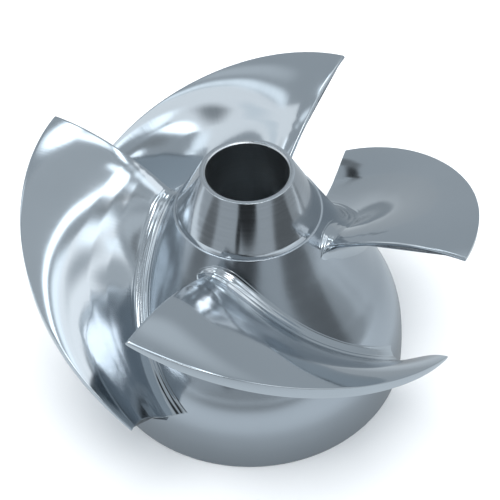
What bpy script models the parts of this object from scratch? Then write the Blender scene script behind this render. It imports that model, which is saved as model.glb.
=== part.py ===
"""Four-bladed axial pump impeller in polished stainless steel, nose up, standing on the rim of its hub.

Metres, +Z up, origin on the floor at the middle of the hub's rim, -Y the side nearest the viewer.
"""

import math

import bmesh
import bpy
import numpy as np

MM = 0.001

# Gap between touching pieces
GAP = 0.3

# Hub: height and outside radius, from the rim up to the shoulder under the nose cone
HUB_OUTLINE = (
    (0.0, 58.7), (6.0, 58.5), (12.0, 58.1), (20.0, 57.1), (28.0, 54.9), (36.0, 50.9),
    (44.0, 45.3), (52.0, 39.8), (60.0, 34.7), (68.0, 30.0), (74.4, 26.2),
)
SHOULDER_Z, SHOULDER_R = HUB_OUTLINE[-1]
HUB_WALL = 4.0
RIM_TOP_Z = 15.0
SKIRT_TOP_Z = 27.0
BELT_TOP_Z = 40.0
CROWN_TOP_Z = 58.0
CAVITY_TOP_Z = 62.0

# Nose cone, turned
NOSE_TOP_Z = 91.7
NOSE_TOP_R = 16.4
NOSE_FOOT_Z = 76.2
NOSE_FOOT_R = 24.8
NOSE_CHAMFER = 0.3

# Shaft boss inside the bell, with the stepped bore
BOSS_R = 20.0
BOSS_FOOT_Z = 5.0
BOSS_CHAMFER = 0.8
BORE_R = 14.5
BORE_STEP_Z = 56.0
REAR_BORE_R = 11.5
BORE_CHAMFER = 0.3

# Blades: each sweeps anticlockwise as it goes down, from its leading edge to its trailing edge
BLADES = 4
BLADE_1_AZIMUTH = -118.95
BLADE_SWEEP = 88.2
TIP_R = 79.5
TIP_HEIGHTS = (85.4, 77.8, 67.1, 54.2, 38.3)
ROOT_HEIGHTS = (67.5, 62.0, 49.8, 36.0, 19.0)
ROOT_TRAIL = 5.0
MIDDLE_LEAD = 0.8
LEADING_BULGE = (1.0, 0.0)
TRAILING_BULGE = (0.1, 0.9)
TIP_THICKNESS = (1.5, 4.4, 4.6, 3.7, 1.0)
ROOT_THICKNESS = (1.6, 5.2, 5.6, 4.8, 1.8)
FILLET_R = 4.2
FILLET_END_R = 3.0
TOE_ANGLE = 25.0
TOE_SLIDE = 5.5
TOE_SLIDE_START = 0.85

# Mesh fineness
TURN_STEPS = 72
WALL_STEPS = 3
CHORD_STEPS = 28
SPAN_STEPS = 7
FILLET_STEPS = 4
BASE_STEPS = 6


def clear_scene():
    for obj in list(bpy.data.objects):
        bpy.data.objects.remove(obj, do_unlink=True)


def make_collection(name):
    collection = bpy.data.collections.new(name)
    bpy.context.scene.collection.children.link(collection)
    return collection


def make_material(name, color, roughness):
    material = bpy.data.materials.new(name)
    material.use_nodes = True
    shader = material.node_tree.nodes["Principled BSDF"]
    shader.inputs["Base Color"].default_value = (*color, 1.0)
    shader.inputs["Metallic"].default_value = 1.0
    shader.inputs["Roughness"].default_value = roughness
    return material


def add_object(name, mesh, material, collection):
    mesh.materials.append(material)
    obj = bpy.data.objects.new(name, mesh)
    collection.objects.link(obj)
    return obj


# Curves through stations

def hub_curve():
    """Hub outline as many close (radius, height) points on a smooth curve, in mm."""
    heights, radii = (np.array(column) for column in zip(*HUB_OUTLINE))
    slopes = np.gradient(radii, heights)
    fine = np.linspace(0.0, SHOULDER_Z, 400)
    cell = np.clip(np.searchsorted(heights, fine, side="right") - 1, 0, len(heights) - 2)
    length = heights[cell + 1] - heights[cell]
    t = (fine - heights[cell]) / length
    value = (
        (2 * t**3 - 3 * t**2 + 1) * radii[cell]
        + (t**3 - 2 * t**2 + t) * length * slopes[cell]
        + (3 * t**2 - 2 * t**3) * radii[cell + 1]
        + (t**3 - t**2) * length * slopes[cell + 1]
    )
    return np.column_stack([value, fine])


def curve_normals(curve):
    along = np.gradient(curve, axis=0)
    normals = np.column_stack([along[:, 1], -along[:, 0]])
    return normals / np.linalg.norm(normals, axis=1, keepdims=True)


HUB = hub_curve()
HUB_NORMALS = curve_normals(HUB)
QUARTERS = np.linspace(0.0, 1.0, 5)
TIP_LINE = np.polyfit(QUARTERS, TIP_HEIGHTS, 4)
ROOT_LINE = np.polyfit(QUARTERS, ROOT_HEIGHTS, 4)
TIP_SECTION = np.polyfit(QUARTERS, TIP_THICKNESS, 4)
ROOT_SECTION = np.polyfit(QUARTERS, ROOT_THICKNESS, 4)


def foot_on_hub(points):
    """Nearest hub point, its outward normal and the distance along it, for each of the points."""
    radius = np.hypot(points[:, 0], points[:, 1])
    flat = np.column_stack([radius, points[:, 2]])
    nearest = np.linalg.norm(flat[:, None] - HUB[None], axis=2).argmin(axis=1)
    distance = ((flat - HUB[nearest]) * HUB_NORMALS[nearest]).sum(axis=1)
    turn = points[:, :2] / radius[:, None]
    foot = np.column_stack([turn * HUB[nearest, :1], HUB[nearest, 1]])
    normal = np.column_stack([turn * HUB_NORMALS[nearest, :1], HUB_NORMALS[nearest, 1]])
    return foot, normal, distance


# Blade surface: u runs from leading to trailing edge, s from the hub to the tip

def blade_middle(u, s):
    root_z = np.polyval(ROOT_LINE, u)
    tip_z = np.polyval(TIP_LINE, u)
    root_r = np.interp(root_z, HUB[:, 1], HUB[:, 0])
    radius = root_r + (TIP_R - root_r) * s
    inner, outer = (a + (b - a) * u for a, b in zip(LEADING_BULGE, TRAILING_BULGE))
    height = root_z + (tip_z - root_z) * (s + s * (1 - s) * (inner + outer * s))
    sweep = BLADE_SWEEP + ROOT_TRAIL * (1 - s) ** 6 - MIDDLE_LEAD * 4 * s * (1 - s)
    azimuth = np.radians(BLADE_1_AZIMUTH + sweep * u)
    return np.stack([radius * np.cos(azimuth), radius * np.sin(azimuth), height], axis=-1)


def blade_normal(u, s):
    """Unit normal on the upper side."""
    step = 1e-3
    along = blade_middle(u + step, s) - blade_middle(u - step, s)
    out = blade_middle(u, s + step) - blade_middle(u, s - step)
    normal = np.cross(out, along)
    return normal / np.linalg.norm(normal, axis=-1, keepdims=True)


def half_thickness(u, s):
    tip = np.polyval(TIP_SECTION, u)
    root = np.polyval(ROOT_SECTION, u)
    return 0.5 * (root + (tip - root) * s)


def blade_face(u, s, side, extra=0.0):
    offset = side * (half_thickness(u, s) + extra)
    return blade_middle(u, s) + offset[..., None] * blade_normal(u, s)


def first_crossing(values, samples):
    """Sample where values turns from negative to positive, by straight interpolation."""
    i = int(np.argmax(values > 0))
    share = values[i - 1] / (values[i - 1] - values[i])
    return samples[i - 1] + share * (samples[i] - samples[i - 1])


def fillet_radius(u):
    return FILLET_END_R + (FILLET_R - FILLET_END_R) * min(1.0, u / 0.15)


def fillet(u, side):
    """Arc of a ball that touches the blade and the hub, from blade to hub, and where it starts on the blade."""
    radius = fillet_radius(u)
    samples = np.linspace(0.0, 0.9, 400)
    centres = blade_face(np.full_like(samples, u), samples, side, radius)
    clear = foot_on_hub(centres)[2] - GAP - radius
    start = first_crossing(clear, samples)
    centre = blade_face(np.array([u]), np.array([start]), side, radius)
    to_blade = -side * blade_normal(np.array([u]), np.array([start]))[0]
    to_hub = -foot_on_hub(centre)[1][0]
    whole = math.acos(float(np.clip(to_blade @ to_hub, -1.0, 1.0)))
    arc = []
    for angle in np.linspace(0.0, max(whole - math.radians(TOE_ANGLE), whole * 0.5), FILLET_STEPS + 1):
        direction = (
            math.sin(whole - angle) * to_blade + math.sin(angle) * to_hub
        ) / math.sin(whole)
        arc.append(centre[0] + radius * direction)
    return start, np.array(arc)


def slide_toe(arc, u):
    """Carries the upper fillet's end on along the root, farthest at its toe, where the trailing edge is cut level."""
    share = max(0.0, (u - TOE_SLIDE_START) / (1.0 - TOE_SLIDE_START)) ** 2
    step = 1e-3
    along = blade_middle(u + step, 0.0) - blade_middle(u - step, 0.0)
    distance = TOE_SLIDE * share * np.linspace(0.0, 1.0, len(arc))
    moved = arc + distance[:, None] * along / np.linalg.norm(along)
    lift = foot_on_hub(arc)[2]
    _, normal, moved_lift = foot_on_hub(moved)
    return moved + (lift - moved_lift)[:, None] * normal


def tip_station(u, side):
    """Where this face of the blade reaches the tip cylinder."""
    samples = np.linspace(0.9, 1.1, 200)
    faces = blade_face(np.full_like(samples, u), samples, side)
    return first_crossing(np.hypot(faces[:, 0], faces[:, 1]) - TIP_R, samples)


def side_points(u, side):
    """Points of one side from the tip down to the hub."""
    start, arc = fillet(u, side)
    if side > 0:
        arc = slide_toe(arc, u)
    stations = np.linspace(tip_station(u, side), start, SPAN_STEPS + 1)[:-1]
    return np.vstack([blade_face(np.full_like(stations, u), stations, side), arc])


def base_points(upper_toe, lower_toe):
    """Points on the hub, lifted by the gap, under the two toes and between them."""
    share = np.linspace(0.0, 1.0, BASE_STEPS + 1)[:, None]
    foot, normal, _ = foot_on_hub(upper_toe + (lower_toe - upper_toe) * share)
    return foot + GAP * normal


def blade_ring(u):
    upper = side_points(u, 1.0)
    lower = side_points(u, -1.0)
    return np.vstack([upper, base_points(upper[-1], lower[-1]), lower[::-1]])


def blade_mesh(name, turn):
    """Solid between the rings of points from leading to trailing edge, closed at both ends."""
    stations = 0.5 - 0.5 * np.cos(np.linspace(0.0, math.pi, CHORD_STEPS + 1))
    stations = 0.5 * stations + 0.5 * np.linspace(0.0, 1.0, CHORD_STEPS + 1)
    rings = [blade_ring(u) for u in stations]
    mesh = bmesh.new()
    cos, sin = math.cos(turn), math.sin(turn)
    rows = []
    for ring in rings:
        row = []
        for x, y, z in ring * MM:
            row.append(mesh.verts.new((x * cos - y * sin, x * sin + y * cos, z)))
        rows.append(row)
    count = len(rows[0])
    for row, after in zip(rows, rows[1:]):
        for i in range(count):
            j = (i + 1) % count
            mesh.faces.new((row[i], after[i], after[j], row[j]))
    for row in (rows[0], rows[-1]):
        close_end(mesh, row)
    bmesh.ops.recalc_face_normals(mesh, faces=mesh.faces)
    for face in mesh.faces:
        face.smooth = True
    data = bpy.data.meshes.new(name)
    mesh.to_mesh(data)
    mesh.free()
    data.set_sharp_from_angle(angle=math.radians(35))
    return data


def close_end(mesh, row):
    """Fills an end ring with strips between its upper and lower side, and a fan over the foot."""
    side = SPAN_STEPS + FILLET_STEPS + 1
    last = len(row) - 1
    for i in range(side - 1):
        mesh.faces.new((row[i], row[i + 1], row[last - i - 1], row[last - i]))
    foot = row[side - 1:last - side + 2]
    mesh.faces.new(foot)


# Turned pieces: a profile, listed down its outer side and up its inner side, spun about Z

def turned(name, profile, material, collection):
    mesh = bpy.data.meshes.new(name)
    points = [(r * MM, 0.0, z * MM) for r, z in profile]
    edges = [(i, (i + 1) % len(points)) for i in range(len(points))]
    mesh.from_pydata(points, edges, [])
    obj = add_object(name, mesh, material, collection)
    screw = obj.modifiers.new("Screw", "SCREW")
    screw.axis = "Z"
    screw.steps = TURN_STEPS
    screw.render_steps = TURN_STEPS
    screw.use_merge_vertices = True
    screw.merge_threshold = 0.00001
    screw.use_smooth_shade = True
    edges_sharp = obj.modifiers.new("Edges", "EDGE_SPLIT")
    edges_sharp.split_angle = math.radians(35)
    return obj


def outer_wall(top, foot):
    return [(float(np.interp(z, HUB[:, 1], HUB[:, 0])), z) for z in np.linspace(top, foot, WALL_STEPS + 1)]


def inner_wall(foot, top):
    inside = HUB - HUB_WALL * HUB_NORMALS
    return [(float(np.interp(z, inside[:, 1], inside[:, 0])), z) for z in np.linspace(foot, top, WALL_STEPS + 1)]


def ring_profile(foot, top):
    """Ring of the hub's wall, kept a gap below the next one."""
    return outer_wall(top - GAP, foot) + inner_wall(foot, top - GAP)


def neck_profile():
    hole = BOSS_R + GAP
    wall = outer_wall(SHOULDER_Z, CROWN_TOP_Z) + inner_wall(CROWN_TOP_Z, CAVITY_TOP_Z)
    return wall + [(hole, CAVITY_TOP_Z), (hole, SHOULDER_Z)]


def nose_profile():
    foot_z = SHOULDER_Z + GAP
    return [
        (NOSE_TOP_R, NOSE_TOP_Z - NOSE_CHAMFER),
        (NOSE_FOOT_R, NOSE_FOOT_Z),
        (SHOULDER_R - GAP, foot_z),
        (BORE_R, foot_z),
        (BORE_R, NOSE_TOP_Z - BORE_CHAMFER),
        (BORE_R + BORE_CHAMFER, NOSE_TOP_Z),
        (NOSE_TOP_R - NOSE_CHAMFER, NOSE_TOP_Z),
    ]


def boss_profile():
    return [
        (BOSS_R, SHOULDER_Z),
        (BOSS_R, BOSS_FOOT_Z + BOSS_CHAMFER),
        (BOSS_R - BOSS_CHAMFER, BOSS_FOOT_Z),
        (REAR_BORE_R + BORE_CHAMFER, BOSS_FOOT_Z),
        (REAR_BORE_R, BOSS_FOOT_Z + BORE_CHAMFER),
        (REAR_BORE_R, BORE_STEP_Z),
        (BORE_R, BORE_STEP_Z),
        (BORE_R, SHOULDER_Z),
    ]


def build():
    clear_scene()
    parts = make_collection("impeller")
    hub_steel = make_material("hub_steel", (0.62, 0.64, 0.66), 0.22)
    nose_steel = make_material("nose_steel", (0.66, 0.67, 0.68), 0.18)
    bore_steel = make_material("bore_steel", (0.40, 0.41, 0.42), 0.30)
    blade_steel = make_material("blade_steel", (0.70, 0.71, 0.73), 0.12)
    turned("hub_rim", ring_profile(0.0, RIM_TOP_Z), hub_steel, parts)
    turned("hub_skirt", ring_profile(RIM_TOP_Z, SKIRT_TOP_Z), hub_steel, parts)
    turned("hub_belt", ring_profile(SKIRT_TOP_Z, BELT_TOP_Z), hub_steel, parts)
    turned("hub_crown", ring_profile(BELT_TOP_Z, CROWN_TOP_Z), hub_steel, parts)
    turned("hub_neck", neck_profile(), hub_steel, parts)
    turned("nose_cone", nose_profile(), nose_steel, parts)
    turned("shaft_boss", boss_profile(), bore_steel, parts)
    for number in range(BLADES):
        name = f"blade_{number + 1}"
        turn = math.radians(360.0 / BLADES * number)
        add_object(name, blade_mesh(name, turn), blade_steel, parts)


build()
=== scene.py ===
"""Looks of the four-bladed pump impeller: a smooth bell hub, a turned nose, and blades with milled roots.

Metres, +Z up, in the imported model's own frame. The impeller's named lengths are millimetres, and the studio's
and the finishes' are metres.
"""

import math

import bmesh
import bpy
import numpy as np
from mathutils import Matrix, Vector

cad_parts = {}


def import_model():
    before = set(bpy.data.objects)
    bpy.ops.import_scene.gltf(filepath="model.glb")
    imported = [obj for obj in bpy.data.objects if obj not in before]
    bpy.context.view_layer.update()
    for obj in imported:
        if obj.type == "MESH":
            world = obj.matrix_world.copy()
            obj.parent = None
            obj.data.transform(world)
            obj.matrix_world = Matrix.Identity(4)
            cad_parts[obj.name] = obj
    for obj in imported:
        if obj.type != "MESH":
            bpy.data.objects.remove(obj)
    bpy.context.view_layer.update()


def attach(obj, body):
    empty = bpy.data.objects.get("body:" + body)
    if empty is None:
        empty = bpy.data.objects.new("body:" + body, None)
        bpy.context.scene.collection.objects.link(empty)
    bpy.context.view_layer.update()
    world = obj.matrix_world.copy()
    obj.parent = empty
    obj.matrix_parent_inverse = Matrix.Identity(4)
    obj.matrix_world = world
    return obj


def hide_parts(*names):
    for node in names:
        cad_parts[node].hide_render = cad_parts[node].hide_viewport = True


MM = 0.001

# Hub: height and outside radius, from the rim up to the shoulder under the nose cone
HUB_OUTLINE = (
    (0.0, 58.7), (6.0, 58.5), (12.0, 58.1), (20.0, 57.1), (28.0, 54.9), (36.0, 50.9),
    (44.0, 45.3), (52.0, 39.8), (60.0, 34.7), (68.0, 30.0), (74.4, 26.2),
)
SHOULDER_Z, SHOULDER_R = HUB_OUTLINE[-1]
HUB_WALL = 4.0
CAVITY_TOP_Z = 62.0
CAVITY_ROUND = 2.0
RIM_ROUND = 0.7
SHOULDER_ROUND = 0.25

# Where the points of the hub's wall end, short of its rounded corners
WALL_OVER_RIM = 1.2
WALL_UNDER_SHOULDER = 0.4
WALL_UNDER_CAVITY_TOP = 3.5

# Nose cone, its seat a little inside and below the hub's shoulder
NOSE_TOP_Z = 91.7
NOSE_TOP_R = 16.4
NOSE_FOOT_Z = 76.2
NOSE_FOOT_R = 24.8
NOSE_FOOT_ROUND = 0.5
LIP_ROUND = 0.3
MOUTH_ROUND = 0.15
SEAT_INSET = 0.5
SEAT_SINK = 0.1
SEAT_ROUND = 0.2

# Shaft boss and bore
BOSS_R = 20.0
BOSS_FOOT_Z = 5.0
BOSS_ROUND = 0.8
BOSS_EDGE_ROUND = 0.1
BORE_R = 14.5
BORE_STEP_Z = 56.0
REAR_BORE_R = 11.5

# Lining of the bore: its wall, how far its ends lie back outside and inside, and the rounding at its step
SLEEVE_WALL = 0.5
SLEEVE_TOP_OUTSIDE = 0.2
SLEEVE_TOP_INSIDE = 0.5
SLEEVE_FOOT_OUTSIDE = 0.1
SLEEVE_FOOT_INSIDE = 0.6
STEP_OUTER_ROUND = 0.3
STEP_INNER_ROUND = 0.2

# Blades. The tips lie a hundredth of a millimetre inside the solids' tips, so that the visual stays in their
# box. Heights and thicknesses are given at five even stations from the leading to the trailing edge
BLADES = 4
BLADE_1_AZIMUTH = -118.95
BLADE_SWEEP = 88.2
TIP_R = 79.49
TIP_HEIGHTS = (85.4, 77.8, 67.1, 54.2, 38.3)
ROOT_HEIGHTS = (67.5, 62.0, 49.8, 36.0, 19.0)
ROOT_TRAIL = 5.0
ROOT_TRAIL_POWER = 6
MIDDLE_LEAD = 0.8
LEADING_BULGE = (1.0, 0.0)
TRAILING_BULGE = (0.1, 0.9)
TIP_THICKNESS = (1.5, 4.4, 4.6, 3.7, 1.0)
ROOT_THICKNESS = (1.6, 5.2, 5.6, 4.8, 1.8)
EDGE_ROUND = 0.25

# Root fillet: its radius, the one at the leading edge, and the share of the chord over which it grows. Near
# the trailing edge, from this share of the chord on, its toe slides on along the hub
FILLET_R = 5.8
FILLET_END_R = 4.2
FILLET_GROWTH = 0.15
TOE_SLIDE = 5.5
TOE_SLIDE_START = 0.85
TOE_SINK = 0.02

# A tip corner's largest share of half the thickness, the blade's rough reach from root to tip, and the least
# share of the span and distance from the edge that a fillet is worked out for
CORNER_SHARE = 0.9
ABOUT_SPAN = 40.0
SMALLEST_START = 0.01
SMALLEST_FROM_EDGE = 0.02

# Ball cutter passes: ridges between them as shares of the root fillet's arc, from toe to face. On the upper
# face there are fainter ones: stations along the chord, and each ridge's share of the way from hub to tip
FILLET_PASSES = (0.0, 0.14, 0.36, 0.62, 0.92)
PASS_STATIONS = (0.0, 0.1, 0.2, 0.34, 0.45, 0.55, 0.7, 0.85, 1.0)
PASS_LINES = (
    (0.19, 0.22, 0.24, 0.26, 0.29, 0.32, 0.33, 0.34, 0.36),
    (0.24, 0.30, 0.33, 0.39, 0.44, 0.49, 0.50, 0.50, 0.50),
    (0.30, 0.39, 0.43, 0.50, 0.60, 0.70, 0.72, 0.70, 0.70),
)
FILLET_PASS_DEPTH = 0.18
FACE_PASS_DEPTH = 0.03
FACE_PASS_START = 1.1

# Mesh fineness, with the stations' crowding towards the blade's edges and their distances from each edge
TURN_STEPS = 180
HUB_CURVE_POINTS = 400
WALL_OUTSIDE_POINTS = 90
WALL_INSIDE_POINTS = 50
ROUNDING_STEPS = 4
CHORD_STEPS = 110
CHORD_SAMPLES = 41
FACE_STEPS = 60
BACK_STEPS = 24
PASS_STEPS = 6
CORNER_STEPS = 3
CROWDING = 0.45
EDGE_STATIONS = (0.0, 0.05, 0.15, 0.3, 0.5, 0.75, 1.1)
SLOPE_STEP = 0.001
TURNED_CREASE = 30.0
BLADE_CREASE = 50.0

# Metres within which points are merged, in a new piece and in the finished one, and the shortest edge left
MERGE_DISTANCE = 2e-6
CLEAN_DISTANCE = 1e-6
SMALLEST_EDGE = 1e-7

# Camera of the photograph: place, lens, and pitch, yaw and roll in degrees
CAMERA_PLACE = (0.0, -0.305603, 0.372592)
CAMERA_LENS = 87.64
CAMERA_SENSOR = 36.0
CAMERA_NEAR = 0.01
CAMERA_TURN = (46.329, 0.052, -1.372)

# Studio
FLOOR_COLOR = (0.83, 0.84, 0.85)
FLOOR_ROUGHNESS = 0.8
FLOOR_R = 9.0
ROOM_COLOR = (0.49, 0.54, 0.58)
GLOW = 1.22
GLOW_R = 8.5
GLOW_LIFT = 0.0002
FLOOR_EDGE_POINTS = 96
CARD_EDGE_POINTS = 48

# Shade on the floor that the steel mirrors: each spot's middle, the distance up to which it is full, the one
# where it ends, and the share of the glow left inside it
FLOOR_SHADES = (
    ((0.0, 0.0, 0.0), 0.05, 0.1, 0.4),
    ((0.15, -0.2, 0.0), 0.2, 0.55, 0.72),
    ((1.1, 0.0, 0.0), 0.35, 0.5, 0.5),
    ((0.15, 5.0, 0.0), 4.7, 5.1, 0.46),
    ((-0.1, -0.75, 0.0), 0.45, 0.65, 0.42),
)
PANEL_DISTANCE = 6.0
CARD_DISTANCE = 5.0
CARD_SPACING = 0.04
CARD_TINT = (0.90, 0.98, 1.04)
BLACK = (0.0, 0.0, 0.0)

# Light panels: azimuth, elevation, width and height in degrees, radiance
FLOOR_LAMP = ("floor_lamp", 0.0, 90.0, 70.0, 70.0, 2.6)
PANELS = (
    ("key_panel", -64, 69, 24, 16, 4.2),
    ("right_panel", 0, 44, 44, 28, 1.0),
    ("left_panel", 168, 44, 38, 28, 0.72),
)

# Mirror cards, each in front of the one before: azimuth, elevation, width, height and turn in degrees,
# radiance, and the share of the half width over which it fades out
CARDS = (
    ("ceiling", 60, 84, 44, 44, 0, 0.66, 0.3),
    ("left_ceiling", 150, 66, 14, 12, 0, 1.4, 0.8),
    ("back_arc_left", 103, 61, 20, 17, 0, 4.0, 0.6),
    ("back_arc", 74, 65, 28, 7, 0, 2.6, 0.5),
    ("back_arc_right", 42, 61, 16, 6, -15, 3.5, 0.6),
    ("right_back_glow", 12, 59, 22, 12, 0, 1.9, 0.8),
    ("right_white_end", 15, 71, 10, 6, 35, 2.4, 0.5),
    ("right_white", -7, 69, 24, 6.5, 6, 3.0, 0.3),
    ("right_grey", -31, 61, 7, 5, 0, 0.3, 0.5),
    ("right_blue", -15, 62, 22, 3.5, 0, 0.55, 0.6),
    ("right_glow", -22, 53, 22, 12, 0, 2.2, 0.7),
    ("right_low_glow", -26, 42, 10, 14, 0, 1.9, 0.8),
    ("right_soft_shade", -2, 46, 34, 16, 0, 0.7, 0.9),
    ("right_low_shade", -14, 33, 34, 13, 0, 0.7, 0.6),
    ("right_front_shade", -44, 43, 18, 22, 0, 0.8, 0.5),
    ("right_front_dark", -40, 39, 18, 5, -44, 0.25, 0.8),
    ("back_wall_glow", 72, 43, 40, 24, 0, 0.8, 0.8),
    ("left_back_glow", 122, 38, 18, 14, 0, 0.8, 0.8),
    ("left_grey", 173, 46, 19, 16, 0, 0.4, 0.8),
    ("left_streak", 137, 43, 12, 8, 0, 1.6, 0.8),
    ("left_edge", -179, 58, 24, 5, 12, 2.4, 0.6),
    ("left_white", -163, 51, 22, 11, 51, 4.0, 0.8),
    ("left_low_white", -166, 38, 18, 11, 0, 1.7, 0.8),
    ("left_far_white", 155, 38, 12, 12, 0, 1.1, 0.8),
    ("left_front_white", -154, 35, 14, 10, 0, 2.8, 0.8),
    ("left_top_white", -147, 68, 12, 8, 0, 1.6, 0.7),
    ("left_dark", -140, 54, 22, 12, 33, 0.4, 0.7),
    ("left_front_glow", -123, 54, 9, 7, 0, 2.6, 0.8),
    ("back_shade", 141, 9, 13, 15, 0, 0.26, 0.7),
    ("back_dark", 139, 3, 18, 6, 34, 0.05, 0.6),
    ("ceiling_dark_spot", -92, 65, 8, 4, 0, 0.02, 0.5),
    ("front_low", -95, 2, 70, 14, 0, 0.42, 0.4),
    ("front_right_shade", -2, 3, 44, 18, 0, 0.45, 0.5),
    ("front_dark_right", -31, 7, 54, 24, 0, 0.17, 0.35),
    ("front_dark_left", -155, 7, 30, 20, 0, 0.22, 0.5),
    ("front_dark_corner", -107, 14, 9, 12, 0, 0.03, 0.5),
    ("front_dark_middle", -92, 24, 41, 29, 0, 0.04, 0.35),
    ("front_dark_top", -108, 35, 26, 22, 0, 0.01, 0.4),
)

# Steel of the blades, then of the hub: its colour with its darkest and lightest share, the roughness as one
# plain value, then the smoothest and what clouds and streaks or rings add to it, the cells in a metre of each
# noise, and the heights of the bumps
BLADE_STEEL = (0.48, 0.52, 0.555)
BLADE_SHADES = (0.94, 1.05)
BLADE_ROUGHNESS = 0.14
BLADE_SMOOTHEST = 0.04
BLADE_CLOUDING = 0.08
BLADE_BRUSHING = 0.05
BLADE_CLOUDS = 28.0
BLADE_RIPPLES = 45.0
BLADE_STREAKS = 90.0
STREAK_RISE = 2.0
BLADE_RIPPLE_HEIGHT = 0.00012
BLADE_STREAK_HEIGHT = 0.000004

HUB_STEEL = (0.45, 0.49, 0.53)
HUB_SHADES = (0.93, 1.05)
HUB_ROUGHNESS = 0.2
HUB_SMOOTHEST = 0.11
HUB_CLOUDING = 0.08
HUB_RINGING = 0.05
HUB_CLOUDS = 35.0
HUB_RIPPLES = 60.0
HUB_RINGS = 1200.0
HUB_RIPPLE_HEIGHT = 0.00006
HUB_RING_HEIGHT = 0.0000015

# Turned steel: fine rings round Z, then each finish's name, colour, roughness, and its rings' pitch and depth
RING_STRETCH = (0.02, 0.02, 1.0)
TURNED_SHADES = (0.92, 1.06)
TURNED_CLOUDING = 0.06
TURNED_RINGING = 0.08
TURNED_CLOUDS = 60.0
NOISE_MIDDLE = 0.5
NOSE_FINISH = ("turned_nose_steel", (0.48, 0.51, 0.54), 0.12, 0.0006, 0.000003)
BORE_FINISH = ("bored_steel", (0.55, 0.58, 0.60), 0.3, 0.0005, 0.000006)


class Wire:
    """A socket of a node tree. Sums and products of wires and numbers add their Math nodes."""

    def __init__(self, tree, socket=None):
        self.tree = tree
        self.socket = socket

    def node(self, kind, settings=None, sockets=None, output=0):
        """A new node: its settings, then the values or wires of its sockets, then the output that is read."""
        new = self.tree.nodes.new(kind)
        for name, value in (settings or {}).items():
            setattr(new, name, value)
        for name, value in (sockets or {}).items():
            if isinstance(value, Wire):
                self.tree.links.new(value.socket, new.inputs[name])
            else:
                new.inputs[name].default_value = value
        return Wire(self.tree, new.outputs[output])

    def math(self, operation, *values):
        return self.node("ShaderNodeMath", {"operation": operation}, dict(enumerate(values)))

    def __add__(self, other):
        return self.math("ADD", self, other)

    def __radd__(self, other):
        return self.math("ADD", other, self)

    def __sub__(self, other):
        return self.math("SUBTRACT", self, other)

    def __rsub__(self, other):
        return self.math("SUBTRACT", other, self)

    def __mul__(self, other):
        return self.math("MULTIPLY", self, other)

    def __rmul__(self, other):
        return self.math("MULTIPLY", other, self)

    def __truediv__(self, other):
        return self.math("DIVIDE", self, other)

    def __rtruediv__(self, other):
        return self.math("DIVIDE", other, self)


# Curves through stations

def hub_curve():
    """Hub outline as many close (radius, height) points on a smooth curve."""
    heights, radii = (np.array(column) for column in zip(*HUB_OUTLINE))
    slopes = np.gradient(radii, heights)
    fine = np.linspace(0.0, SHOULDER_Z, HUB_CURVE_POINTS)
    cell = np.clip(np.searchsorted(heights, fine, side="right") - 1, 0, len(heights) - 2)
    length = heights[cell + 1] - heights[cell]
    t = (fine - heights[cell]) / length
    value = (
        (2 * t**3 - 3 * t**2 + 1) * radii[cell]
        + (t**3 - 2 * t**2 + t) * length * slopes[cell]
        + (3 * t**2 - 2 * t**3) * radii[cell + 1]
        + (t**3 - t**2) * length * slopes[cell + 1]
    )
    return np.column_stack([value, fine])


def curve_normals(curve):
    along = np.gradient(curve, axis=0)
    normals = np.column_stack([along[:, 1], -along[:, 0]])
    return normals / np.linalg.norm(normals, axis=1, keepdims=True)


def fillet_shares():
    """Shares of the fillet's arc from face to toe, with points on each ridge and even steps between them."""
    ridges = FILLET_PASSES[::-1]
    first = np.linspace(1.0, ridges[0], PASS_STEPS // 2, endpoint=False)
    passes = [np.linspace(a, b, PASS_STEPS, endpoint=False) for a, b in zip(ridges, ridges[1:])]
    return np.concatenate([first, *passes, [0.0]])


ARC_SHARES = fillet_shares()
HUB = hub_curve()
HUB_NORMALS = curve_normals(HUB)
QUARTERS = np.linspace(0.0, 1.0, 5)
TIP_LINE = np.polyfit(QUARTERS, TIP_HEIGHTS, 4)
ROOT_LINE = np.polyfit(QUARTERS, ROOT_HEIGHTS, 4)
TIP_SECTION = np.polyfit(QUARTERS, TIP_THICKNESS, 4)
ROOT_SECTION = np.polyfit(QUARTERS, ROOT_THICKNESS, 4)


def over_hub(points):
    """Height of each point over the hub, and the hub's outward normal there."""
    radius = np.hypot(points[:, 0], points[:, 1])
    flat = np.column_stack([radius, points[:, 2]])
    nearest = np.linalg.norm(flat[:, None] - HUB[None], axis=2).argmin(axis=1)
    lift = ((flat - HUB[nearest]) * HUB_NORMALS[nearest]).sum(axis=1)
    turn = points[:, :2] / radius[:, None]
    normal = np.column_stack([turn * HUB_NORMALS[nearest, :1], HUB_NORMALS[nearest, 1]])
    return lift, normal


# Blade surface: u runs from leading to trailing edge, s from the hub to the tip

def blade_middle(u, s):
    root_z = np.polyval(ROOT_LINE, u)
    tip_z = np.polyval(TIP_LINE, u)
    root_r = np.interp(root_z, HUB[:, 1], HUB[:, 0])
    radius = root_r + (TIP_R - root_r) * s
    inner, outer = (a + (b - a) * u for a, b in zip(LEADING_BULGE, TRAILING_BULGE))
    height = root_z + (tip_z - root_z) * (s + s * (1 - s) * (inner + outer * s))
    sweep = BLADE_SWEEP + ROOT_TRAIL * (1 - s) ** ROOT_TRAIL_POWER - MIDDLE_LEAD * 4 * s * (1 - s)
    azimuth = np.radians(BLADE_1_AZIMUTH + sweep * u)
    return np.stack([radius * np.cos(azimuth), radius * np.sin(azimuth), height], axis=-1)


def blade_normal(u, s):
    """Unit normal on the upper side."""
    along = blade_middle(u + SLOPE_STEP, s) - blade_middle(u - SLOPE_STEP, s)
    out = blade_middle(u, s + SLOPE_STEP) - blade_middle(u, s - SLOPE_STEP)
    normal = np.cross(out, along)
    return normal / np.linalg.norm(normal, axis=-1, keepdims=True)


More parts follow.
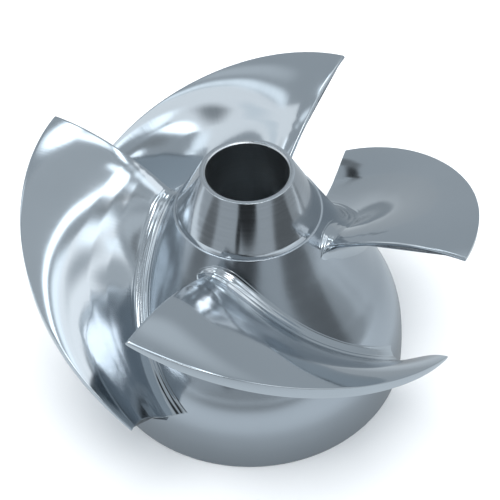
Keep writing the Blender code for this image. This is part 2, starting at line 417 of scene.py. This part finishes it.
def chord_length(s):
    """Length of the blade's middle line from leading to trailing edge at this station."""
    u = np.linspace(0.0, 1.0, CHORD_SAMPLES)
    line = np.stack([blade_middle(u, np.full_like(u, each)) for each in np.atleast_1d(s)])
    return np.linalg.norm(np.diff(line, axis=1), axis=2).sum(axis=1)


CHORD_SHARES = np.linspace(0.0, 1.1, 23)
CHORD_LENGTHS = chord_length(CHORD_SHARES)
FILLET_SEARCH = np.linspace(-0.05, 0.9, 500)
TIP_SEARCH = np.linspace(0.9, 1.1, 200)


def corner_inset(distance, radius):
    """How far a rounded corner draws the surface in, at this distance from the edge."""
    short = np.clip(1.0 - distance / radius, 0.0, 1.0)
    return radius * (1.0 - np.sqrt(1.0 - short**2))


def half_thickness(u, s):
    """Half the blade's thickness, full round at its leading edge, with small corners at its trailing edge."""
    tip = np.polyval(TIP_SECTION, u)
    root = np.polyval(ROOT_SECTION, u)
    half = 0.5 * (root + (tip - root) * s)
    chord = np.interp(s, CHORD_SHARES, CHORD_LENGTHS)
    leading = 0.5 * (ROOT_THICKNESS[0] + (TIP_THICKNESS[0] - ROOT_THICKNESS[0]) * s)
    half = half - corner_inset(u * chord, leading) * half / leading
    return half - corner_inset((1.0 - u) * chord, EDGE_ROUND)


def blade_face(u, s, side, extra=0.0):
    offset = side * (half_thickness(u, s) + extra)
    return blade_middle(u, s) + offset[..., None] * blade_normal(u, s)


def first_crossing(values, samples):
    """Sample where values turns from negative to positive, by straight interpolation."""
    i = int(np.argmax(values > 0))
    share = values[i - 1] / (values[i - 1] - values[i])
    return samples[i - 1] + share * (samples[i] - samples[i - 1])


def fillet_radius(u):
    """Fillet radius along the root, running out round the leading edge."""
    steady = FILLET_END_R + (FILLET_R - FILLET_END_R) * min(1.0, u / FILLET_GROWTH)
    from_edge = max(u * CHORD_LENGTHS[0], SMALLEST_FROM_EDGE)
    return steady * math.sqrt(1.0 - max(0.0, 1.0 - from_edge / steady) ** 2)


def fillet(u, side):
    """Fillet of a ball that touches both: where it starts on the blade, and its arc from there to the hub."""
    radius = fillet_radius(u)
    centres = blade_face(np.full_like(FILLET_SEARCH, u), FILLET_SEARCH, side, radius)
    clear = over_hub(centres)[0] + TOE_SINK - radius
    start = first_crossing(clear, FILLET_SEARCH)
    centre = blade_face(np.array([u]), np.array([start]), side, radius)
    to_blade = -side * blade_normal(np.array([u]), np.array([start]))[0]
    to_hub = -over_hub(centre)[1][0]
    whole = math.acos(float(np.clip(to_blade @ to_hub, -1.0, 1.0)))
    angle = whole * (1.0 - ARC_SHARES[:, None])
    direction = (np.sin(whole - angle) * to_blade + np.sin(angle) * to_hub) / math.sin(whole)
    return start, centre[0] + radius * direction


def slid_on_hub(points, offset):
    """The points moved by the offset, and set back to their height over the hub."""
    moved = points + offset
    moved_lift, normal = over_hub(moved)
    return moved + (over_hub(points)[0] - moved_lift)[:, None] * normal


def wrap_leading_root(points, u):
    """Carries the fillet round the leading edge: points near the hub move forward and keep their height."""
    from_edge = u * CHORD_LENGTHS[0]
    weight = max(0.0, 1.0 - from_edge / FILLET_END_R) ** 2
    if weight == 0.0:
        return points
    lift = np.maximum(over_hub(points)[0], 0.0)
    forward = weight * corner_inset(lift, FILLET_END_R)
    ahead = blade_middle(-SLOPE_STEP, 0.0) - blade_middle(0.0, 0.0)
    ahead = ahead / np.linalg.norm(ahead)
    return np.where(forward[:, None] > 0.0, slid_on_hub(points, forward[:, None] * ahead), points)


def slide_toe(arc, u):
    """Carries the upper fillet's end on along the root, farthest at its toe, to a level trailing edge."""
    share = max(0.0, (u - TOE_SLIDE_START) / (1.0 - TOE_SLIDE_START)) ** 2
    if share == 0.0:
        return arc
    along = blade_middle(u + SLOPE_STEP, 0.0) - blade_middle(u - SLOPE_STEP, 0.0)
    distance = TOE_SLIDE * share * (1.0 - ARC_SHARES)
    return slid_on_hub(arc, distance[:, None] * along / np.linalg.norm(along))


def tip_station(u, side):
    """Where this face of the blade reaches the tip cylinder."""
    faces = blade_face(np.full_like(TIP_SEARCH, u), TIP_SEARCH, side)
    return first_crossing(np.hypot(faces[:, 0], faces[:, 1]) - TIP_R, TIP_SEARCH)


def tip_corner(u, side, top):
    """Points round the corner between this face and the tip."""
    reach = TIP_R - np.interp(np.polyval(ROOT_LINE, u), HUB[:, 1], HUB[:, 0])
    angle = np.linspace(0.5 * math.pi, 0.0, CORNER_STEPS + 1)
    corner = min(EDGE_ROUND, CORNER_SHARE * float(half_thickness(u, 1.0)))
    stations = top - corner * (1.0 - np.sin(angle)) / reach
    return blade_face(np.full_like(stations, u), stations, side, -corner * (1.0 - np.cos(angle)))


def side_points(u, side, steps):
    """Points of one side from tip to hub, the fillet's start, and each point's share of the span."""
    start, arc = fillet(u, side)
    if side > 0:
        arc = slide_toe(arc, u)
    top = tip_station(u, side)
    corner = tip_corner(u, side, top)
    first = top - EDGE_ROUND / ABOUT_SPAN
    stations = np.linspace(first, start, steps + 1)[1:-1]
    face = blade_face(np.full_like(stations, u), stations, side)
    points = wrap_leading_root(np.vstack([corner, face, arc]), u)
    fillet_share = max(start, SMALLEST_START)
    shares = np.concatenate([np.full(len(corner), first), stations, fillet_share * ARC_SHARES])
    return points, fillet_share, shares


def pass_number(u, start, shares):
    """Number of cutter passes between the hub and each point. Whole numbers lie on the ridges."""
    ridges = [start * share for share in FILLET_PASSES]
    ridges += [float(np.interp(u, PASS_STATIONS, line)) for line in PASS_LINES]
    return np.interp(shares, ridges, np.arange(len(ridges), dtype=float))


def pass_depth(start, shares):
    """Depth of the passes at each point: full in the fillet, less on the face."""
    ends = (FILLET_PASSES[-1], FACE_PASS_START)
    return np.interp(shares / start, ends, (FILLET_PASS_DEPTH * MM, FACE_PASS_DEPTH * MM))


def chord_stations():
    """Shares of the chord where the blade has a row of points, closer together towards both edges."""
    even = np.linspace(0.0, 1.0, CHORD_STEPS + 1)
    crowded = 0.5 - 0.5 * np.cos(math.pi * even)
    stations = CROWDING * crowded + (1.0 - CROWDING) * even
    edge = np.array(EDGE_STATIONS) / CHORD_LENGTHS[-1]
    return np.unique(np.concatenate([edge, stations[stations > edge[-1]], 1.0 - edge]))


def section_row(mesh, u, number_layer, depth_layer):
    """Points round the blade's section at this share of the chord, each with its pass number and depth."""
    upper, start, shares = side_points(u, 1.0, FACE_STEPS)
    lower = side_points(u, -1.0, BACK_STEPS)[0]
    plain = np.zeros(len(lower))
    numbers = np.concatenate([pass_number(u, start, shares), plain])
    depths = np.concatenate([pass_depth(start, shares), plain])
    row = []
    for point, number, depth in zip(np.vstack([upper, lower[::-1]]) * MM, numbers, depths):
        vertex = mesh.verts.new(point)
        vertex[number_layer] = number
        vertex[depth_layer] = depth
        row.append(vertex)
    return row


def blade_mesh():
    """Closed first blade, with each point's pass number and pass depth kept as attributes."""
    mesh = bmesh.new()
    number_layer = mesh.verts.layers.float.new("pass_number")
    depth_layer = mesh.verts.layers.float.new("pass_depth")
    rows = [section_row(mesh, u, number_layer, depth_layer) for u in chord_stations()]
    count = len(rows[0])
    for row, after in zip(rows, rows[1:]):
        for i in range(count):
            j = (i + 1) % count
            mesh.faces.new((row[i], after[i], after[j], row[j]))
    mesh.faces.new(rows[-1])
    bmesh.ops.remove_doubles(mesh, verts=mesh.verts, dist=MERGE_DISTANCE)
    bmesh.ops.dissolve_degenerate(mesh, edges=mesh.edges, dist=SMALLEST_EDGE)
    bmesh.ops.holes_fill(mesh, edges=[e for e in mesh.edges if e.is_boundary])
    bmesh.ops.recalc_face_normals(mesh, faces=mesh.faces)
    data = bpy.data.meshes.new("blade")
    mesh.to_mesh(data)
    mesh.free()
    data.shade_smooth()
    return data


# Profiles of the turned pieces: closed (radius, height) loops

def arc_corner(before, corner, after, radius):
    """Points of an arc that rounds one corner of a profile."""
    before, corner, after = (np.array(p, float) for p in (before, corner, after))
    back = (before - corner) / np.linalg.norm(before - corner)
    ahead = (after - corner) / np.linalg.norm(after - corner)
    half = 0.5 * math.acos(float(np.clip(back @ ahead, -1.0, 1.0)))
    setback = radius / math.tan(half)
    middle = corner + (back + ahead) / np.linalg.norm(back + ahead) * radius / math.sin(half)
    start = corner + back * setback - middle
    end = corner + ahead * setback - middle
    whole = math.acos(float(np.clip(start @ end / radius**2, -1.0, 1.0)))
    points = []
    for share in np.linspace(0.0, 1.0, ROUNDING_STEPS + 1):
        mix = (math.sin((1 - share) * whole) * start + math.sin(share * whole) * end) / math.sin(whole)
        points.append(tuple(middle + mix))
    return points


def rounded(profile):
    """The profile, with each (radius, height, rounding) corner turned into an arc."""
    out = []
    for i, point in enumerate(profile):
        if len(point) == 2:
            out.append(point)
            continue
        before, after = profile[i - 1][:2], profile[(i + 1) % len(profile)][:2]
        out.extend(arc_corner(before, point[:2], after, point[2]))
    return out


def wall_points(curve, low, high, count):
    heights = np.linspace(low, high, count)
    return [(float(np.interp(z, curve[:, 1], curve[:, 0])), float(z)) for z in heights]


def hub_profile():
    inside = HUB - HUB_WALL * HUB_NORMALS
    rim_inside_r = float(np.interp(0.0, inside[:, 1], inside[:, 0]))
    top_inside_r = float(np.interp(CAVITY_TOP_Z, inside[:, 1], inside[:, 0]))
    outer = wall_points(HUB, SHOULDER_Z - WALL_UNDER_SHOULDER, WALL_OVER_RIM, WALL_OUTSIDE_POINTS)
    inner = wall_points(inside, WALL_OVER_RIM, CAVITY_TOP_Z - WALL_UNDER_CAVITY_TOP, WALL_INSIDE_POINTS)
    sleeve_r = BORE_R + SLEEVE_WALL
    rear_r = REAR_BORE_R + SLEEVE_WALL
    return rounded(
        [(SHOULDER_R, SHOULDER_Z, SHOULDER_ROUND)] + outer
        + [(HUB[0, 0], 0.0, RIM_ROUND), (rim_inside_r, 0.0, RIM_ROUND)] + inner
        + [(top_inside_r, CAVITY_TOP_Z, CAVITY_ROUND), (BOSS_R, CAVITY_TOP_Z, CAVITY_ROUND)]
        + [(BOSS_R, BOSS_FOOT_Z, BOSS_ROUND), (rear_r, BOSS_FOOT_Z, BOSS_EDGE_ROUND)]
        + [(rear_r, BORE_STEP_Z), (sleeve_r, BORE_STEP_Z), (sleeve_r, SHOULDER_Z)]
    )


def nose_profile():
    sleeve_r = BORE_R + SLEEVE_WALL
    return rounded([
        (NOSE_TOP_R, NOSE_TOP_Z, LIP_ROUND),
        (NOSE_FOOT_R, NOSE_FOOT_Z, NOSE_FOOT_ROUND),
        (SHOULDER_R - SEAT_INSET, SHOULDER_Z - SEAT_SINK, SEAT_ROUND),
        (sleeve_r, SHOULDER_Z - SEAT_SINK),
        (sleeve_r, NOSE_TOP_Z, MOUTH_ROUND),
    ])


def sleeve_profile():
    top_r = BORE_R + SLEEVE_WALL
    rear_r = REAR_BORE_R + SLEEVE_WALL
    return rounded([
        (top_r, NOSE_TOP_Z - SLEEVE_TOP_OUTSIDE), (top_r, BORE_STEP_Z - SLEEVE_WALL),
        (rear_r, BORE_STEP_Z - SLEEVE_WALL), (rear_r, BOSS_FOOT_Z + SLEEVE_FOOT_OUTSIDE),
        (REAR_BORE_R, BOSS_FOOT_Z + SLEEVE_FOOT_INSIDE), (REAR_BORE_R, BORE_STEP_Z, STEP_INNER_ROUND),
        (BORE_R, BORE_STEP_Z, STEP_OUTER_ROUND), (BORE_R, NOSE_TOP_Z - SLEEVE_TOP_INSIDE),
    ])


def profile_mesh(name, profile):
    """Closed profile as a loose chain of points in the XZ plane, its first point repeated at the end."""
    mesh = bpy.data.meshes.new(name)
    points = [(r * MM, 0.0, z * MM) for r, z in profile + profile[:1]]
    mesh.from_pydata(points, [(i, i + 1) for i in range(len(points) - 1)], [])
    return mesh


# Geometry Nodes trees

def new_tree(name, inputs):
    """Tree with a geometry input and output, and one more named input for each name and socket type."""
    tree = bpy.data.node_groups.new(name, "GeometryNodeTree")
    tree.interface.new_socket("Geometry", in_out="INPUT", socket_type="NodeSocketGeometry")
    tree.interface.new_socket("Geometry", in_out="OUTPUT", socket_type="NodeSocketGeometry")
    for label, kind in inputs.items():
        tree.interface.new_socket(label, in_out="INPUT", socket_type=kind)
    entry = tree.nodes.new("NodeGroupInput")
    return tree, lambda label: Wire(tree, entry.outputs[label])


def end_tree(tree, wire, finish):
    """Gives the geometry its material and leads it to the tree's output."""
    dressed = wire.node("GeometryNodeSetMaterial", {}, {"Geometry": wire, "Material": finish})
    out = tree.nodes.new("NodeGroupOutput")
    tree.links.new(dressed.socket, out.inputs["Geometry"])


def turning_tree():
    """Turns a profile, given as a chain of points, into a closed solid round the Z axis."""
    tree, given = new_tree("turn_profile", {
        "Steps": "NodeSocketInt", "Points": "NodeSocketInt", "Finish": "NodeSocketMaterial",
    })
    start = Wire(tree)
    grid = start.node("GeometryNodeMeshGrid", {}, {
        "Size X": 1.0, "Size Y": 1.0, "Vertices X": given("Points"), "Vertices Y": given("Steps") + 1.0,
    })
    place = start.node("GeometryNodeInputPosition")
    along = start.node("ShaderNodeSeparateXYZ", {}, {"Vector": place}, "X") + 0.5
    around = start.node("ShaderNodeSeparateXYZ", {}, {"Vector": place}, "Y") + 0.5
    index = start.math("ROUND", along * (given("Points") - 1.0))
    corner = start.node("GeometryNodeSampleIndex", {"data_type": "FLOAT_VECTOR"}, {
        "Geometry": given("Geometry"), "Value": place, "Index": index,
    })
    radius = start.node("ShaderNodeSeparateXYZ", {}, {"Vector": corner}, "X")
    height = start.node("ShaderNodeSeparateXYZ", {}, {"Vector": corner}, "Z")
    angle = around * math.tau
    target = start.node("ShaderNodeCombineXYZ", {}, {
        "X": radius * start.math("COSINE", angle), "Y": radius * start.math("SINE", angle), "Z": height,
    })
    solid = start.node("GeometryNodeSetPosition", {}, {"Geometry": grid, "Position": target})
    solid = start.node("GeometryNodeMergeByDistance", {}, {"Geometry": solid, "Distance": MERGE_DISTANCE})
    solid = start.node("GeometryNodeSetShadeSmooth", {}, {"Geometry": solid, "Shade Smooth": True})
    solid = start.node("GeometryNodeRealizeInstances", {}, {"Geometry": solid})
    end_tree(tree, solid, given("Finish"))
    return tree


def blading_tree():
    """Hollows each cutter pass on the blade a little, then sets the blade round the shaft."""
    tree, given = new_tree("blades_round_shaft", {
        "Blades": "NodeSocketInt", "Pass Strength": "NodeSocketFloat", "Finish": "NodeSocketMaterial",
    })
    start = Wire(tree)
    number, depth = (
        start.node("GeometryNodeInputNamedAttribute", {"data_type": "FLOAT"}, {"Name": name})
        for name in ("pass_number", "pass_depth")
    )
    share = start.math("FRACT", number)
    hollow = share * (1.0 - share) * 4.0 * depth * given("Pass Strength")
    normal = start.node("GeometryNodeInputNormal")
    inward = start.node("ShaderNodeVectorMath", {"operation": "SCALE"}, {0: normal, "Scale": hollow * -1.0})
    milled = start.node("GeometryNodeSetPosition", {}, {"Geometry": given("Geometry"), "Offset": inward})
    seats = start.node("GeometryNodeMeshLine", {}, {"Count": given("Blades"), "Offset": (0.0, 0.0, 0.0)})
    turn = start.node("GeometryNodeInputIndex") * math.tau / given("Blades")
    turned = start.node("ShaderNodeCombineXYZ", {}, {"Z": turn})
    blades = start.node("GeometryNodeInstanceOnPoints", {}, {
        "Points": seats, "Instance": milled, "Rotation": turned,
    })
    blades = start.node("GeometryNodeRealizeInstances", {}, {"Geometry": blades})
    end_tree(tree, blades, given("Finish"))
    return tree


def grown(name, mesh, tree, values, crease):
    """Runs a tree on a mesh and keeps the result as one plain object at the origin."""
    seed = bpy.data.objects.new(name + "_seed", mesh)
    bpy.context.scene.collection.objects.link(seed)
    modifier = seed.modifiers.new("Grow", "NODES")
    modifier.node_group = tree
    for item in tree.interface.items_tree:
        if item.item_type == "SOCKET" and item.in_out == "INPUT" and item.name in values:
            modifier[item.identifier] = values[item.name]
    graph = bpy.context.evaluated_depsgraph_get()
    data = bpy.data.meshes.new_from_object(seed.evaluated_get(graph), depsgraph=graph)
    bpy.data.objects.remove(seed, do_unlink=True)
    face_outwards(data)
    data.set_sharp_from_angle(angle=math.radians(crease))
    data.name = name
    piece = bpy.data.objects.new(name, data)
    bpy.context.scene.collection.objects.link(piece)
    return piece


def face_outwards(data):
    mesh = bmesh.new()
    mesh.from_mesh(data)
    bmesh.ops.remove_doubles(mesh, verts=mesh.verts, dist=CLEAN_DISTANCE)
    bmesh.ops.recalc_face_normals(mesh, faces=mesh.faces)
    mesh.to_mesh(data)
    mesh.free()


# Finishes

def new_finish(name, color, roughness):
    """Metal with its plain values set on the shader itself."""
    material = bpy.data.materials.new(name)
    material.use_nodes = True
    tree = material.node_tree
    shader = tree.nodes["Principled BSDF"]
    shader.inputs["Base Color"].default_value = (*color, 1.0)
    shader.inputs["Metallic"].default_value = 1.0
    shader.inputs["Roughness"].default_value = roughness
    return material, Wire(tree), shader


def feed(shader, name, wire):
    wire.tree.links.new(wire.socket, shader.inputs[name])


def noise(start, place, scale, detail=3.0, stretch=(1.0, 1.0, 1.0)):
    stretched = start.node("ShaderNodeMapping", {}, {"Vector": place, "Scale": stretch})
    return start.node("ShaderNodeTexNoise", {}, {
        "Vector": stretched, "Scale": scale, "Detail": detail,
    }, "Fac")


def rings_round_z(start, place, scale):
    return noise(start, place, scale, detail=2.0, stretch=RING_STRETCH)


def tint(start, factor, dark, light):
    return start.node("ShaderNodeMix", {"data_type": "RGBA"}, {
        0: factor, 6: (*dark, 1.0), 7: (*light, 1.0),
    }, 2)


def clouded(start, factor, color, shades):
    """The colour, between its darkest and its lightest share."""
    dark, light = (tuple(share * channel for channel in color) for share in shades)
    return tint(start, factor, dark, light)


def feed_bump(start, shader, height):
    """Bump of this height in metres."""
    feed(shader, "Normal", start.node("ShaderNodeBump", {}, {
        "Strength": 1.0, "Distance": 1.0, "Height": height,
    }))


def brushed_outwards(start, place):
    """Fine streaks that run from the shaft outwards."""
    flat = start.node("ShaderNodeVectorMath", {"operation": "MULTIPLY"}, {0: place, 1: (1.0, 1.0, 0.0)})
    outwards = start.node("ShaderNodeVectorMath", {"operation": "NORMALIZE"}, {0: flat})
    rise = start.node("ShaderNodeVectorMath", {"operation": "MULTIPLY"}, {
        0: place, 1: (0.0, 0.0, STREAK_RISE),
    })
    streaks = start.node("ShaderNodeVectorMath", {"operation": "ADD"}, {0: outwards, 1: rise})
    return noise(start, streaks, BLADE_STREAKS)


def blade_finish():
    material, start, shader = new_finish("polished_blade_steel", BLADE_STEEL, BLADE_ROUGHNESS)
    place = start.node("ShaderNodeTexCoord", {}, {}, "Object")
    cloud = noise(start, place, BLADE_CLOUDS)
    brush = brushed_outwards(start, place)
    feed(shader, "Base Color", clouded(start, cloud, BLADE_STEEL, BLADE_SHADES))
    feed(shader, "Roughness", BLADE_SMOOTHEST + cloud * BLADE_CLOUDING + brush * BLADE_BRUSHING)
    ripple = noise(start, place, BLADE_RIPPLES, detail=1.0)
    feed_bump(start, shader, ripple * BLADE_RIPPLE_HEIGHT + brush * BLADE_STREAK_HEIGHT)
    return material


def hub_finish():
    material, start, shader = new_finish("polished_hub_steel", HUB_STEEL, HUB_ROUGHNESS)
    place = start.node("ShaderNodeTexCoord", {}, {}, "Object")
    cloud = noise(start, place, HUB_CLOUDS)
    rings = rings_round_z(start, place, HUB_RINGS)
    feed(shader, "Base Color", clouded(start, cloud, HUB_STEEL, HUB_SHADES))
    feed(shader, "Roughness", HUB_SMOOTHEST + cloud * HUB_CLOUDING + rings * HUB_RINGING)
    ripple = noise(start, place, HUB_RIPPLES, detail=1.0)
    feed_bump(start, shader, ripple * HUB_RIPPLE_HEIGHT + rings * HUB_RING_HEIGHT)
    return material


def turned_finish(name, color, roughness, pitch, depth):
    """Lathe lines round Z: fine rings of the given pitch and depth, uneven from ring to ring."""
    material, start, shader = new_finish(name, color, roughness)
    place = start.node("ShaderNodeTexCoord", {}, {}, "Object")
    rings = rings_round_z(start, place, 1.0 / pitch)
    cloud = noise(start, place, TURNED_CLOUDS)
    feed(shader, "Base Color", clouded(start, rings, color, TURNED_SHADES))
    uneven = (cloud - NOISE_MIDDLE) * TURNED_CLOUDING
    feed(shader, "Roughness", roughness + uneven + (rings - NOISE_MIDDLE) * TURNED_RINGING)
    feed_bump(start, shader, rings * depth)
    return material


# Studio

def add_camera():
    camera = bpy.data.objects.new("camera", bpy.data.cameras.new("camera"))
    bpy.context.scene.collection.objects.link(camera)
    camera.data.sensor_width = CAMERA_SENSOR
    camera.data.lens = CAMERA_LENS
    camera.data.clip_start = CAMERA_NEAR
    pitch, yaw, roll = (math.radians(value) for value in CAMERA_TURN)
    heading = Matrix.Rotation(-yaw, 4, "Z")
    tilt = Matrix.Rotation(0.5 * math.pi - pitch, 4, "X")
    lean = Matrix.Rotation(roll, 4, "Z")
    camera.matrix_world = Matrix.Translation(CAMERA_PLACE) @ (heading @ tilt @ lean)
    bpy.context.scene.camera = camera


def disc(name, radius, edge_points, material):
    """Flat round object at the origin."""
    mesh = bmesh.new()
    bmesh.ops.create_circle(mesh, cap_ends=True, segments=edge_points, radius=radius)
    data = bpy.data.meshes.new(name)
    mesh.to_mesh(data)
    mesh.free()
    data.materials.append(material)
    piece = bpy.data.objects.new(name, data)
    bpy.context.scene.collection.objects.link(piece)
    return piece


def add_floor():
    material = bpy.data.materials.new("pale_floor")
    material.use_nodes = True
    shader = material.node_tree.nodes["Principled BSDF"]
    shader.inputs["Base Color"].default_value = (*FLOOR_COLOR, 1.0)
    shader.inputs["Roughness"].default_value = FLOOR_ROUGHNESS
    floor = disc("floor", FLOOR_R, FLOOR_EDGE_POINTS, material)


def add_room_light():
    world = bpy.data.worlds.new("studio_room")
    world.use_nodes = True
    background = world.node_tree.nodes["Background"]
    background.inputs["Color"].default_value = (*ROOM_COLOR, 1.0)
    bpy.context.scene.world = world


def aimed(azimuth, elevation, distance, turn=0.0):
    """Place of something that faces the impeller from this direction and is turned about it, in degrees."""
    direction = Vector((
        math.cos(math.radians(elevation)) * math.cos(math.radians(azimuth)),
        math.cos(math.radians(elevation)) * math.sin(math.radians(azimuth)),
        math.sin(math.radians(elevation)),
    ))
    facing = direction.to_track_quat("Z", "Y").to_matrix().to_4x4()
    return Matrix.Translation(direction * distance) @ facing @ Matrix.Rotation(math.radians(turn), 4, "Z")


def add_panel(name, azimuth, elevation, width, height, radiance):
    """Soft light panel that faces the impeller, its width and height in degrees as seen from it."""
    light = bpy.data.lights.new(name, "AREA")
    light.shape = "RECTANGLE"
    light.size = 2.0 * PANEL_DISTANCE * math.tan(math.radians(0.5 * width))
    light.size_y = 2.0 * PANEL_DISTANCE * math.tan(math.radians(0.5 * height))
    light.energy = math.pi * light.size * light.size_y * radiance
    panel = bpy.data.objects.new(name, light)
    bpy.context.scene.collection.objects.link(panel)
    panel.matrix_world = aimed(azimuth, elevation, PANEL_DISTANCE)
    panel.visible_camera = False
    return panel


def empty_material(name):
    material = bpy.data.materials.new(name)
    material.use_nodes = True
    material.node_tree.nodes.clear()
    return material, Wire(material.node_tree)


def set_surface(wire):
    out = wire.tree.nodes.new("ShaderNodeOutputMaterial")
    wire.tree.links.new(wire.socket, out.inputs["Surface"])


def card_material(name, radiance, fade):
    """Even glow that fades out over this share of the way in from the card's edge."""
    material, start = empty_material(name)
    place = start.node("ShaderNodeTexCoord", {}, {}, "Object")
    from_middle = start.node("ShaderNodeVectorMath", {"operation": "LENGTH"}, {0: place}, "Value")
    cover = start.node("ShaderNodeMapRange", {"interpolation_type": "SMOOTHSTEP"}, {
        "Value": from_middle, "From Min": 1.0, "From Max": 1.0 - fade, "To Min": 0.0, "To Max": 1.0,
    })
    clear = start.node("ShaderNodeBsdfTransparent")
    glow = start.node("ShaderNodeEmission", {}, {"Color": (*CARD_TINT, 1.0), "Strength": radiance})
    set_surface(start.node("ShaderNodeMixShader", {}, {0: cover, 1: clear, 2: glow}))
    return material


def seen_in_steel_only(piece):
    piece.visible_camera = False
    piece.visible_diffuse = False
    piece.visible_shadow = False


def add_card(name, azimuth, elevation, width, height, turn, radiance, fade, distance):
    """Round card with a soft edge that only the steel mirrors, its size in degrees seen from the impeller."""
    card = disc(name, 1.0, CARD_EDGE_POINTS, card_material(name, radiance, fade))
    half_sizes = [distance * math.tan(math.radians(0.5 * size)) for size in (width, height)]
    stretch = Matrix.Diagonal((*half_sizes, 1.0, 1.0))
    card.matrix_world = aimed(azimuth, elevation, distance, turn) @ stretch
    seen_in_steel_only(card)


def floor_shade(start, place, middle, near, far, share):
    """Share of the floor's glow by distance in metres from the middle of a spot."""
    away = start.node("ShaderNodeVectorMath", {"operation": "DISTANCE"}, {0: place, 1: middle}, "Value")
    return start.node("ShaderNodeMapRange", {"interpolation_type": "SMOOTHSTEP"}, {
        "Value": away, "From Min": near, "From Max": far, "To Min": share, "To Max": 1.0,
    })


def add_floor_glow():
    """The pale floor as the steel mirrors it, glowing, with its shaded spots."""
    material, start = empty_material("floor_glow")
    place = start.node("ShaderNodeTexCoord", {}, {}, "Object")
    share = math.prod(floor_shade(start, place, *spot) for spot in FLOOR_SHADES)
    color = tint(start, share, BLACK, CARD_TINT)
    set_surface(start.node("ShaderNodeEmission", {}, {"Color": color, "Strength": GLOW}))
    floor = disc("floor_glow", GLOW_R, FLOOR_EDGE_POINTS, material)
    floor.location.z = GLOW_LIFT
    seen_in_steel_only(floor)


def add_floor_lamp():
    """Wide lamp overhead that lights the floor alone, so that it stays pale to its edges."""
    lamp = add_panel(*FLOOR_LAMP)
    lamp.visible_glossy = False


def add_lights():
    add_room_light()
    add_floor_lamp()
    for name, *values in PANELS:
        add_panel(name, *values)
    add_floor_glow()
    for number, (name, *values) in enumerate(CARDS):
        add_card(name, *values, distance=CARD_DISTANCE - number * CARD_SPACING)


# The impeller's pieces

def add_turned_pieces():
    """Hub, nose and lining of the bore, each turned round the shaft from its profile."""
    turning = turning_tree()
    finishes = {
        "hub_body": hub_finish(),
        "nose_turning": turned_finish(*NOSE_FINISH),
        "bore_sleeve": turned_finish(*BORE_FINISH),
    }
    profiles = {
        "hub_body": hub_profile(),
        "nose_turning": nose_profile(),
        "bore_sleeve": sleeve_profile(),
    }
    stands_for = {
        "hub_body": ("hub_rim", "hub_skirt", "hub_belt", "hub_crown", "hub_neck"),
        "nose_turning": ("nose_cone",),
        "bore_sleeve": ("shaft_boss",),
    }
    for name, profile in profiles.items():
        piece = grown(name, profile_mesh(name + "_profile", profile), turning, {
            "Steps": TURN_STEPS, "Points": len(profile) + 1, "Finish": finishes[name],
        }, TURNED_CREASE)
        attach(piece, "root")
        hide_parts(*stands_for[name])


def add_blades():
    blades = grown("blades", blade_mesh(), blading_tree(), {
        "Blades": BLADES, "Pass Strength": 1.0, "Finish": blade_finish(),
    }, BLADE_CREASE)
    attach(blades, "root")
    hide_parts(*(f"blade_{number + 1}" for number in range(BLADES)))


def main():
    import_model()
    bpy.context.scene.view_settings.view_transform = "Standard"
    add_camera()
    add_floor()
    add_lights()
    add_turned_pieces()
    add_blades()


main()
